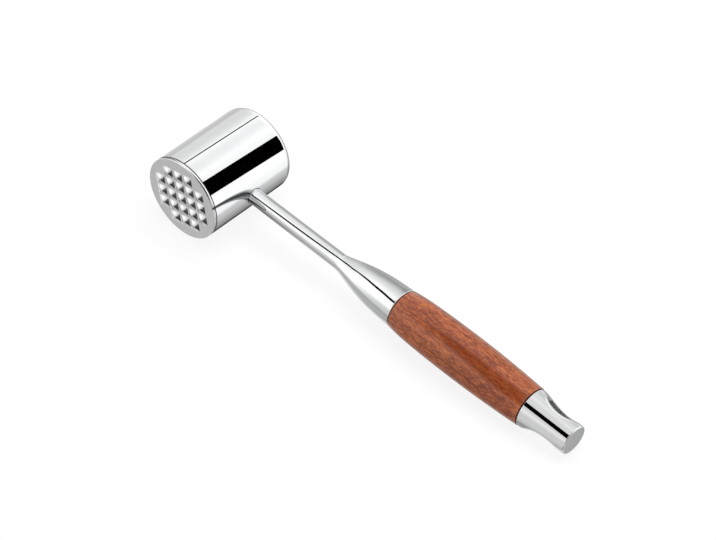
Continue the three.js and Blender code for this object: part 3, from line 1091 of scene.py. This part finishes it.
@dataclass
class StemAndFerrule:
    """The slim stem with its thread and tang, and the ferrule that flares from it to the grip."""

    front_radius: float = 4.385
    rear_radius: float = 4.535
    socket_reach: float = 13.3
    head_radius: float = 24.0
    joint: float = 84.15
    thread_front: float = -6.2
    thread_radius: float = 4.0
    thread_edge: float = 0.8
    tang_radius: float = 3.0
    tang_edge: float = 0.6
    tang_end: float = 224.0
    flare_foot: float = 85.5
    flare_foot_lean: float = 7.0
    flare_mouth_lean: float = 27.0
    mouth: float = 130.1
    mouth_radius: float = 10.985
    mouth_edge: float = 0.25
    wall: float = 1.4
    bore_radius: float = 3.3
    socket_radius: float = 9.2
    socket_floor: float = 117.5
    inner_cone_start: float = 103.0
    cone_gap: float = 0.05
    flare_steps: int = 72
    sides: int = 256

    def stem_outline(self) -> Outline:
        """Gives the stem's outline from its threaded front to the end of its tang."""
        return [
            (0, self.thread_front), (self.thread_radius - self.thread_edge, self.thread_front),
            (self.thread_radius, self.thread_front + self.thread_edge),
            (self.thread_radius, self.socket_reach), (self.front_radius, self.socket_reach),
            (self.front_radius, self.head_radius), (self.rear_radius, self.joint),
            (self.tang_radius, self.joint), (self.tang_radius, self.tang_end - self.tang_edge),
            (self.tang_radius - self.tang_edge, self.tang_end), (0, self.tang_end),
        ]

    def flare(self) -> Outline:
        """Gives the ferrule's outer outline, a cubic curve from the stem's line to the grip's.

        Returns:
            The outline.
        """
        ends = np.array([
            (self.rear_radius, self.flare_foot), (self.rear_radius, self.flare_foot + self.flare_foot_lean),
            (self.mouth_radius, self.mouth - self.flare_mouth_lean), (self.mouth_radius, self.mouth),
        ])
        t = np.linspace(0, 1, self.flare_steps + 1)[:, None]
        curve = ((1 - t) ** 3 * ends[0] + 3 * t * (1 - t) ** 2 * ends[1]
                 + 3 * t ** 2 * (1 - t) * ends[2] + t ** 3 * ends[3])
        return [(float(r), float(x)) for r, x in curve]

    def ferrule_outline(self) -> Outline:
        """Gives the ferrule's outline round its outside and its stepped bore.

        Returns:
            The outline.
        """
        flare, edge = self.flare(), self.mouth_edge
        outer = [p for p in flare if p[1] < self.mouth - edge]
        inside = [(r - self.wall, x) for r, x in flare
                  if self.bore_radius < r - self.wall < self.socket_radius - self.cone_gap
                  and self.inner_cone_start < x < self.socket_floor]
        return [
            (self.bore_radius, self.joint), (self.rear_radius, self.joint), *outer,
            *arc((self.mouth_radius - edge, self.mouth - edge), edge, 0, 90, 5),
            (self.socket_radius, self.mouth), (self.socket_radius, self.socket_floor),
            *reversed(inside), (self.bore_radius, inside[0][1] - self.wall), (self.bore_radius, self.joint),
        ]

    def build(self, finishes: Finishes) -> None:
        """Builds and dresses the stem and the ferrule.

        Args:
            finishes: The finishes.
        """
        stem = turned_solid("round_stem", self.stem_outline(), self.sides, Axis.HANDLE)
        finishes.dress(stem, Slot.POLISHED, "stem")
        ferrule = turned_solid("flared_ferrule", self.ferrule_outline(), self.sides, Axis.HANDLE)
        finishes.dress(ferrule, Slot.POLISHED, "ferrule")
        finishes.dress_nodes(Slot.RUBBER, "ferrule_gasket")


@dataclass
class WoodenGrip:
    """The turned grip: a slim barrel with a tenon in the ferrule and a counterbore at its rear."""

    start: float = 130.7
    length: float = 87.2
    end_radius: float = 11.23
    belly_radius: float = 12.77
    edge: float = 0.15
    edge_drop: float = 0.02
    tenon_front: float = 117.8
    tenon_radius: float = 8.9
    tenon_edge: float = 0.8
    bore_radius: float = 3.5
    counterbore_radius: float = 6.5
    counterbore_depth: float = 8.0
    place_shares: tuple[float, ...] = (0, 0.1, 0.25, 0.45, 0.65, 0.85, 1)
    swell_shares: tuple[float, ...] = (0, 0.55, 0.86, 1, 0.88, 0.48, 0)
    steps: int = 84
    sides: int = 256

    def swell(self) -> Outline:
        """Gives the outline between the two ends, a smooth curve through its stations.

        Returns:
            The outline.
        """
        x = self.start + self.length * np.array(self.place_shares)
        r = self.end_radius + (self.belly_radius - self.end_radius) * np.array(self.swell_shares)
        stations = np.stack([r, x], -1)
        padded = np.concatenate([stations[:1], stations, stations[-1:]])
        curve = []
        for t in np.linspace(0, len(stations) - 1, self.steps + 1):
            k = min(int(t), len(stations) - 2)
            w = t - k
            p0, p1, p2, p3 = padded[k:k + 4]
            v0, v1 = (p2 - p0) / 2, (p3 - p1) / 2
            curve.append((2 * p1 - 2 * p2 + v0 + v1) * w ** 3
                         + (-3 * p1 + 3 * p2 - 2 * v0 - v1) * w ** 2 + v0 * w + p1)
        return [(float(r), float(x)) for r, x in curve]

    def outline(self) -> Outline:
        """Gives the grip's outline round its outside and its bore.

        Returns:
            The outline.
        """
        end, edge = self.start + self.length, self.edge
        barrel = [p for p in self.swell() if self.start + edge < p[1] < end - edge]
        counterbore = end - self.counterbore_depth
        first, last = barrel[0][0] - self.edge_drop, barrel[-1][0] - self.edge_drop
        return [
            (self.bore_radius, self.tenon_front), (self.tenon_radius - self.tenon_edge, self.tenon_front),
            (self.tenon_radius, self.tenon_front + self.tenon_edge), (self.tenon_radius, self.start),
            *arc((first - edge, self.start + edge), edge, -90, 0, 6), *barrel,
            *arc((last - edge, end - edge), edge, 0, 90, 6), (self.counterbore_radius, end),
            (self.counterbore_radius, counterbore), (self.bore_radius, counterbore),
            (self.bore_radius, self.tenon_front),
        ]

    def build(self, finishes: Finishes) -> None:
        """Builds and dresses the grip and what clamps it.

        Args:
            finishes: The finishes.
        """
        grip = turned_solid("turned_grip", self.outline(), self.sides, Axis.HANDLE)
        finishes.dress(grip, Slot.WOOD, "wood_grip")
        finishes.dress_nodes(Slot.MACHINED, "grip_washer", "grip_lock_washer", "grip_nut")


@dataclass
class EndCap:
    """The steel end cap: a tapered finial with two scoops that a hanging slot opens into."""

    start: float = 218.7
    end: float = 247.2
    front_radius: float = 11.03
    end_radius: float = 8.23
    front_edge: float = 0.1
    end_edge: float = 0.55
    thread_radius: float = 3.3
    thread_depth: float = 5.6
    scoop_middle: float = 235.0
    scoop_radius: float = 26.0
    scoop_waist: float = 14.2
    scoop_blend: float = 1.1
    slot_turn: float = math.radians(45)
    slot_width: float = 8.0
    slot_length: float = 15.0
    slot_middle: float = 231.5
    slot_edge: float = 0.3
    slot_edge_turn: float = math.radians(72)
    slot_overshoot: float = 1.6
    slot_sink: float = 2.0
    wall_slack: float = 0.35
    steps: int = 110
    sides: int = 288
    slot_steps: int = 24

    def taper(self, place: float) -> float:
        """Gives the radius of the finial's cone, also beyond its two ends."""
        share = (place - self.start) / (self.end - self.start)
        return self.front_radius + (self.end_radius - self.front_radius) * share

    def scoop_height(self, x: np.ndarray) -> np.ndarray:
        """Gives the distance of a scoop's surface from the handle's axis."""
        drop = np.clip(self.scoop_radius ** 2 - (x - self.scoop_middle) ** 2, 0, None)
        return self.scoop_waist / 2 + self.scoop_radius - np.sqrt(drop)

    def surface(self, x: float, angle: np.ndarray) -> np.ndarray:
        """Gives the cap's radius with its scoops.

        Args:
            x: A place along the handle.
            angle: Angles round it in radians.

        Returns:
            The radii.
        """
        cone = np.interp(x, [self.start, self.end], [self.front_radius, self.end_radius])
        facing = np.maximum(np.abs(np.cos(angle - self.slot_turn)), 1e-3)
        return soft_min(cone, self.scoop_height(x) / facing, self.scoop_blend)

    def build_finial(self) -> Piece:
        """Builds the solid finial with its threaded bore.

        Returns:
            The finial.
        """
        turns = np.linspace(0, math.tau, self.sides, endpoint=False)
        quarter = np.radians(np.linspace(0, 90, 9))
        front = [(self.start + self.front_edge * (1 - math.cos(t)), self.front_edge * (1 - math.sin(t)))
                 for t in quarter[:-1]]
        rear = [(self.end - self.end_edge * (1 - math.sin(t)), self.end_edge * (1 - math.cos(t)))
                for t in quarter[1:]]
        between = np.linspace(self.start + self.front_edge, self.end - self.end_edge, self.steps)
        bore_floor = self.start + self.thread_depth
        rows = [around(self.thread_radius, x, turns, Axis.HANDLE) for x in (bore_floor, self.start)]
        rows += [around(self.surface(x, turns) - drop, x, turns, Axis.HANDLE)
                 for x, drop in front + [(float(x), 0.0) for x in between] + rear]
        count = len(rows) * self.sides
        points = np.concatenate([*rows, [(bore_floor, 0, 0), (self.end, 0, 0)]])
        faces = grid_faces(len(rows), self.sides, closed=True)
        last = count - self.sides
        for k in range(self.sides):
            after = (k + 1) % self.sides
            faces += [(k, after, count), (last + k, last + after, count + 1)]
        return solid_object("end_finial", points, faces)

    def build_slot_tool(self) -> Piece:
        """Builds the solid that cuts the hanging slot, flared at its two mouths.

        Returns:
            The tool.
        """
        end_radius, edge = self.slot_width / 2, self.slot_edge
        straight = self.slot_length / 2 - end_radius
        outward = np.radians(np.linspace(-90, 270, 2 * self.slot_steps, endpoint=False))
        shift = np.where(np.cos(outward) > 1e-9, straight, -straight)
        flare = np.linspace(0, self.slot_edge_turn, 7)
        levels = [(edge * math.sin(t) - edge, edge * (1 - math.cos(t))) for t in flare]
        over, (rise, offset) = self.slot_overshoot, levels[-1]
        levels.append((rise + over * math.cos(flare[-1]), offset + over * math.sin(flare[-1])))
        levels.insert(0, (-self.slot_sink, 0.0))
        cos, sin = math.cos(self.slot_turn), math.sin(self.slot_turn)
        mouth = self.scoop_height(self.slot_middle + shift + end_radius * np.cos(outward))
        rows = []
        for side in (-1, 1):
            for rise, offset in levels[::side]:
                reach = end_radius + offset
                across, along = reach * np.sin(outward), side * (mouth + rise)
                rows.append(np.stack([self.slot_middle + shift + reach * np.cos(outward),
                                      along * cos - across * sin, along * sin + across * cos], -1))
        per_row = len(outward)
        faces = grid_faces(len(rows), per_row, closed=True)
        faces += [tuple(range(per_row)), tuple(range((len(rows) - 1) * per_row, len(rows) * per_row))]
        return solid_object("slot_tool", np.concatenate(rows), faces)

    def in_slot(self, points: np.ndarray) -> np.ndarray:
        """Tells which points lie on the slot's straight walls.

        Args:
            points: Points in the mallet's own frame.

        Returns:
            True for each point that does.
        """
        across = np.abs(points[:, 2] * math.cos(self.slot_turn) - points[:, 1] * math.sin(self.slot_turn))
        straight = self.slot_length / 2 - self.slot_width / 2
        beyond = np.maximum(np.abs(points[:, 0] - self.slot_middle) - straight, 0)
        return np.hypot(across, beyond) < self.slot_width / 2 + self.wall_slack

    def build(self, finishes: Finishes) -> None:
        """Builds and dresses the cap and its gasket.

        Args:
            finishes: The finishes.
        """
        cap = self.build_finial()
        carve(cap, self.build_slot_tool())
        finishes.dress(cap, Slot.POLISHED, "end_cap")
        finishes.recoat(cap, finishes.slots[Slot.MACHINED], self.in_slot)
        finishes.dress_nodes(Slot.RUBBER, "cap_gasket")


# Studio

@dataclass(frozen=True)
class Viewpoint:
    """Where the camera stands, in millimetres on the floor, and how it is turned."""

    location: Triple = (755.87, -880.68, 1230.21)
    target: Triple = (-19.16, 7.84, 12.0)
    roll: float = math.radians(3.1648)
    lens: float = 164.607
    sensor: float = 36.0

    def build(self) -> None:
        """Makes the camera and hands it to the scene."""
        data = bpy.data.cameras.new("camera")
        data.lens, data.sensor_width, data.sensor_fit = self.lens, self.sensor, "HORIZONTAL"
        data.clip_start, data.clip_end = 0.05, 20.0
        forward = (Vector(self.target) - Vector(self.location)).normalized()
        level = forward.cross(Vector((0, 0, 1))).normalized()
        right = level * math.cos(self.roll) + level.cross(forward) * math.sin(self.roll)
        turn = Matrix((right, right.cross(forward), -forward)).transposed().to_4x4()
        camera = linked("camera", data)
        camera.matrix_world = Matrix.Translation(Vector(self.location) * MM) @ turn
        bpy.context.scene.camera = camera
        log.info("camera: lens %.1f mm", self.lens)


class Surface(Enum):
    """The turned surfaces that flags are hung over."""

    HEAD = "head"
    HANDLE = "handle"
    CAP = "cap"


@dataclass(frozen=True)
class Flag:
    """A dark card, seen only in reflections, that paints a reflected stripe or shade onto the surface it
    hangs over.

    Its stations give, for places along the surface's axis, the two angles between which it is seen.
    Its profile gives its darkness across, and its strengths scale that from station to station. It
    shows only in reflections shorter than its distance times its slack, so not in other surfaces.
    """

    name: str
    over: Surface
    distance: float
    step: float
    stations: tuple[Triple, ...]
    profile: tuple[float, ...] = (1.0, 1.0)
    strengths: tuple[float, ...] = ()
    slack: float = 1.5

    def mirrored(self, place: float, degrees: float, radius: Callable[[float], float],
                 eye: np.ndarray) -> np.ndarray:
        """Gives the point that the camera sees mirrored in a place of the surface.

        Args:
            place: The place along the surface's axis.
            degrees: The angle round the axis.
            radius: The surface's radius at a place along it.
            eye: The camera's place in the mallet's own frame.

        Returns:
            The point, at the card's distance.
        """
        axis = Axis.HEAD if self.over is Surface.HEAD else Axis.HANDLE
        angle, nudge = math.radians(degrees), 0.05
        slope = (radius(place + nudge) - radius(place - nudge)) / (2 * nudge)
        point = around(radius(place), place, angle, axis)
        normal = around(1.0, -slope, angle, axis)
        normal /= np.linalg.norm(normal)
        look = point - eye
        look /= np.linalg.norm(look)
        return point + (look - 2 * np.dot(look, normal) * normal) * self.distance

    def build(self, radius: Callable[[float], float], eye: np.ndarray, card: bpy.types.Material) -> None:
        """Builds the card.

        Args:
            radius: The surface's radius at a place along it.
            eye: The camera's place in the mallet's own frame.
            card: The card's material.
        """
        table = np.array(self.stations)
        places = np.arange(table[0, 0], table[-1, 0] + self.step / 2, self.step)
        strength = np.interp(places, table[:, 0], self.strengths or np.ones(len(table)))
        points, darkness = [], []
        for share, dark in zip(np.linspace(0, 1, len(self.profile)), self.profile):
            turn = np.interp(places, table[:, 0], table[:, 1] * (1 - share) + table[:, 2] * share)
            points += [self.mirrored(place, degrees, radius, eye) for place, degrees in zip(places, turn)]
            darkness += list(dark * strength)
        mesh = bpy.data.meshes.new(self.name)
        faces = grid_faces(len(self.profile), len(places), closed=False)
        mesh.from_pydata(REST.placed(np.array(points)).tolist(), [], faces)
        store(mesh, "darkness", darkness)
        store(mesh, "reach", [self.distance * self.slack * MM] * len(points))
        mesh.materials.append(card)
        flag = linked(self.name, mesh)
        flag.visible_camera = flag.visible_diffuse = flag.visible_shadow = False
        flag.visible_transmission = flag.visible_volume_scatter = False
        log.info("%s: %d stations", self.name, len(places))


@dataclass(frozen=True)
class Shade:
    """A soft dark patch of the studio, as polished metal sees it: its core and reach in degrees."""

    direction: Triple
    core: float
    reach: float
    depth: float


@dataclass
class Studio:
    """The pale floor, the soft light, the black flags that paint reflections and shade onto the mallet, and
    the shades of the walls.
    """

    floor_half: float = 1.6
    white: float = 1.2
    fill: float = 0.62
    key_size: float = 0.9
    key_place: Triple = (0.0, 0.25, 1.1)
    key_power: float = 9.0
    shades: tuple[Shade, ...] = (
        Shade((-0.18, 0.76, -0.62), 3, 47, 0.62),
        Shade((-0.77, 0.59, -0.25), 1, 22, 0.39),
        Shade((-0.29, -0.94, -0.20), 1, 33, 0.43),
        Shade((-0.18, 0.22, 0.96), 4, 30, 0.22),
        Shade((0.14, 0.10, -0.98), 40, 51, 0.39),
        Shade((0.65, -0.49, 0.58), 33, 71, 0.55),
        Shade((0.24, -0.71, -0.66), 8, 33, 0.96),
        Shade((-0.59, -0.51, -0.63), 11, 33, 0.59),
        Shade((0.93, -0.36, 0.05), 15, 46, 0.86),
        Shade((0.52, 0.37, -0.77), 19, 46, 0.1),
        Shade((-0.93, 0.23, 0.29), 6, 46, 0.34),
    )
    # Painted reflections and painted shade: cards hung close over the head, rim, stem, ferrule, grip and cap,
    # placed from the camera's place.
    flags: tuple[Flag, ...] = (
        Flag("head_stripe_flag", Surface.HEAD, 2, 0.6,
             ((-27.8, 40.3, 60.0), (0, 37.7, 57.7), (25.8, 35.1, 55.5))),
        Flag("head_line_flag", Surface.HEAD, 2, 0.6,
             ((-27.6, 93.2, 94.9), (-1, 91.6, 93.3), (25.8, 90.0, 91.6))),
        Flag("rim_line_flag", Surface.HEAD, 1, 0.45, ((-29.65, 24, 88), (-28.75, 24, 88)),
             (0.3, 0.5, 0.9, 1.0, 1.0, 0.95, 0.7, 0.2, 0.0)),
        Flag("rim_top_line_flag", Surface.HEAD, 1, 0.4, ((-29.1, 100, 150), (-28.3, 100, 150)),
             (0.0, 0.7, 0.9, 0.9, 0.7, 0.0)),
        Flag("rim_shade_flag", Surface.HEAD, 1.5, 0.7, ((-29.5, 4, 36), (-28.1, 4, 36)),
             (0.0, 0.3, 0.42, 0.42, 0.25, 0.0)),
        Flag("head_foot_shade_flag", Surface.HEAD, 1.5, 1, ((-27.3, -34, -9), (25, -34, -9)),
             (0.9, 0.9, 0.84, 0.7, 0.1, 0.0)),
        Flag("handle_line_flag", Surface.HANDLE, 1, 0.5, (
            (24.3, 126.4, 135.6), (30, 124.3, 133.7), (34, 123.8, 133.0), (42, 121.2, 130.8),
            (54, 118.5, 128.7), (66, 115.4, 126.0), (74, 112.6, 122.6), (82, 110.2, 119.6),
            (86, 108.3, 117.5), (90, 109.3, 117.3), (94, 111.4, 118.4), (98, 113.9, 119.9),
            (102, 114.0, 118.8), (106, 114.6, 120.0), (110, 115.5, 120.9), (114, 116.9, 122.7),
            (118, 117.9, 123.9), (122, 118.6, 124.6), (126, 120.3, 126.1), (129.9, 121.2, 126.6))),
        Flag("stem_shade_flag", Surface.HANDLE, 1.5, 0.5, ((24.3, 42, 98), (34, 42, 98), (88, 42, 98)),
             (0.0, 0.2, 0.45, 0.62, 0.61, 0.42, 0.18, 0.0), (0.4, 1.0, 1.0)),
        Flag("ferrule_shade_flag", Surface.HANDLE, 1.5, 0.5,
             ((88.2, 42, 98), (96, 44, 98), (104, 42, 102), (112, 42, 106), (125, 42, 106), (129.9, 42, 106)),
             (0.0, 0.12, 0.45, 0.65, 0.62, 0.42, 0.15, 0.0), (0.75, 0.7, 0.95, 1.05, 1.05, 1.15)),
        Flag("stem_foot_shade_flag", Surface.HANDLE, 1.5, 0.5,
             ((24.3, 145, 205), (34, 145, 205), (42, 145, 205), (54, 148, 205), (66, 155, 200)),
             (0.0, 0.12, 0.12, 0.38, 0.7, 0.62, 0.4), (1.0, 1.0, 0.8, 0.4, 0.1)),
        Flag("grip_shade_flag", Surface.HANDLE, 30, 2,
             ((131.5, 114, 126), (150, 113, 129), (175, 106, 130), (200, 104, 142), (217, 104, 144)),
             (0.0, 0.9, 1.0, 1.0, 0.9, 0.0), (0.0, 0.6, 1.0, 1.0, 1.0), 1.1),
        Flag("grip_top_shade_flag", Surface.HANDLE, 30, 2, ((131.5, 54, 97), (142, 54, 97), (217, 54, 97)),
             (0.2, 0.5, 0.55, 0.5, 0.2, 0.0), (0.0, 1.0, 1.0), 1.1),
        Flag("grip_foot_shade_flag", Surface.HANDLE, 30, 2,
             ((131.5, 156, 204), (142, 155, 204), (217, 150, 204)),
             (0.0, 0.3, 0.4, 0.45, 0.45), (0.0, 1.0, 1.0), 1.1),
        Flag("cap_shade_flag", Surface.CAP, 1.5, 2, ((218.9, 58, 98), (247.0, 58, 98)),
             (0.1, 0.4, 0.45, 0.36, 0.22, 0.0)),
        Flag("cap_foot_shade_flag", Surface.CAP, 1.5, 2,
             ((218.9, 175, 208), (226, 175, 208), (234, 172, 205), (240, 172, 205)),
             (0.0, 0.3, 0.45, 0.5), (1.0, 1.1, 0.6, 0.0)),
        Flag("cap_stripe_flag", Surface.CAP, 1, 2,
             ((218.6, 120.9, 131.7), (231, 120.9, 132.8), (246.9, 120.4, 134.9))),
    )

    def build_floor(self, finishes: Finishes) -> None:
        """Lays the floor.

        Args:
            finishes: The finishes.
        """
        half = self.floor_half
        corners = [(-half, -half, 0), (half, -half, 0), (half, half, 0), (-half, half, 0)]
        mesh = bpy.data.meshes.new("floor")
        mesh.from_pydata(corners, [], [(0, 1, 2, 3)])
        mesh.materials.append(finishes.floor)
        floor = linked("floor", mesh)
        floor.visible_glossy = False

    def build_lamp(self) -> None:
        """Hangs a wide soft lamp overhead."""
        lamp = bpy.data.lights.new("overhead_lamp", "AREA")
        lamp.shape, lamp.size, lamp.energy = "DISK", self.key_size, self.key_power
        hung = linked("overhead_lamp", lamp)
        hung.location = self.key_place
        hung.rotation_euler = (-Vector(self.key_place)).to_track_quat("-Z", "Y").to_euler()
        hung.visible_glossy = False

    def build_walls(self) -> None:
        """Sets the studio's walls: white to the camera, an even light, and shaded to polished metal."""
        world = bpy.data.worlds.new("studio")
        bpy.context.scene.world = world
        world.use_nodes = True
        world.node_tree.nodes.clear()
        graph = Graph(world.node_tree)
        direction = graph.node("TexCoord").outputs["Generated"]
        level: object = self.white
        for shade in self.shades:
            facing = graph.vector("DOT_PRODUCT", direction, Vector(shade.direction).normalized())
            reach, core = math.cos(math.radians(shade.reach)), math.cos(math.radians(shade.core))
            left = graph.ranged(facing, reach, core, 1.0, 1.0 - shade.depth, "SMOOTHSTEP")
            level = graph.math("MULTIPLY", left, level)
        walls, plain, backdrop = (graph.node("Background", {"Color": WHITE, "Strength": strength}).outputs[0]
                                  for strength in (level, self.fill, 1.0))
        path = graph.node("LightPath").outputs
        mirrored = graph.math("MAXIMUM", path["Is Glossy Ray"], path["Is Transmission Ray"])
        seen = graph.mixed(path["Is Camera Ray"], graph.mixed(mirrored, plain, walls), backdrop)
        graph.node("OutputWorld", {"Surface": seen})

    def build(self, finishes: Finishes, view: Viewpoint,
              radii: dict[Surface, Callable[[float], float]]) -> None:
        """Builds the studio round the mallet.

        Args:
            finishes: The finishes.
            view: The camera's place.
            radii: For each surface that flags hang over, its radius at a place along it.
        """
        self.build_floor(finishes)
        eye = REST.own(np.array(view.location) * MM)
        for flag in self.flags:
            flag.build(radii[flag.over], eye, finishes.card)
        self.build_lamp()
        self.build_walls()
        bpy.context.scene.view_settings.view_transform = "Standard"


def handle_radius(ferrule: StemAndFerrule, grip: WoodenGrip, cap: EndCap) -> Callable[[float], float]:
    """Gives the handle's radius at any place along it.

    Args:
        ferrule: The stem and ferrule.
        grip: The grip.
        cap: The end cap.

    Returns:
        A function of the place along the handle.
    """
    line = [(ferrule.front_radius, 0.0), (ferrule.front_radius, ferrule.head_radius), *ferrule.flare(),
            *grip.swell(), (cap.front_radius, cap.start), (cap.end_radius, cap.end)]
    radii, places = np.array(line).T
    return lambda place: float(np.interp(place, places, radii))


def main() -> None:
    """Builds the mallet and its studio."""
    view = Viewpoint()
    view.build()
    finishes = Finishes()
    head, ferrule, grip, cap = MalletHead(), StemAndFerrule(), WoodenGrip(), EndCap()
    for part in (head, ferrule, grip, cap):
        part.build(finishes)
    radii = {Surface.HEAD: head.side_radius, Surface.HANDLE: handle_radius(ferrule, grip, cap),
             Surface.CAP: cap.taper}
    Studio().build(finishes, view, radii)


if __name__ == "__main__":
    main()
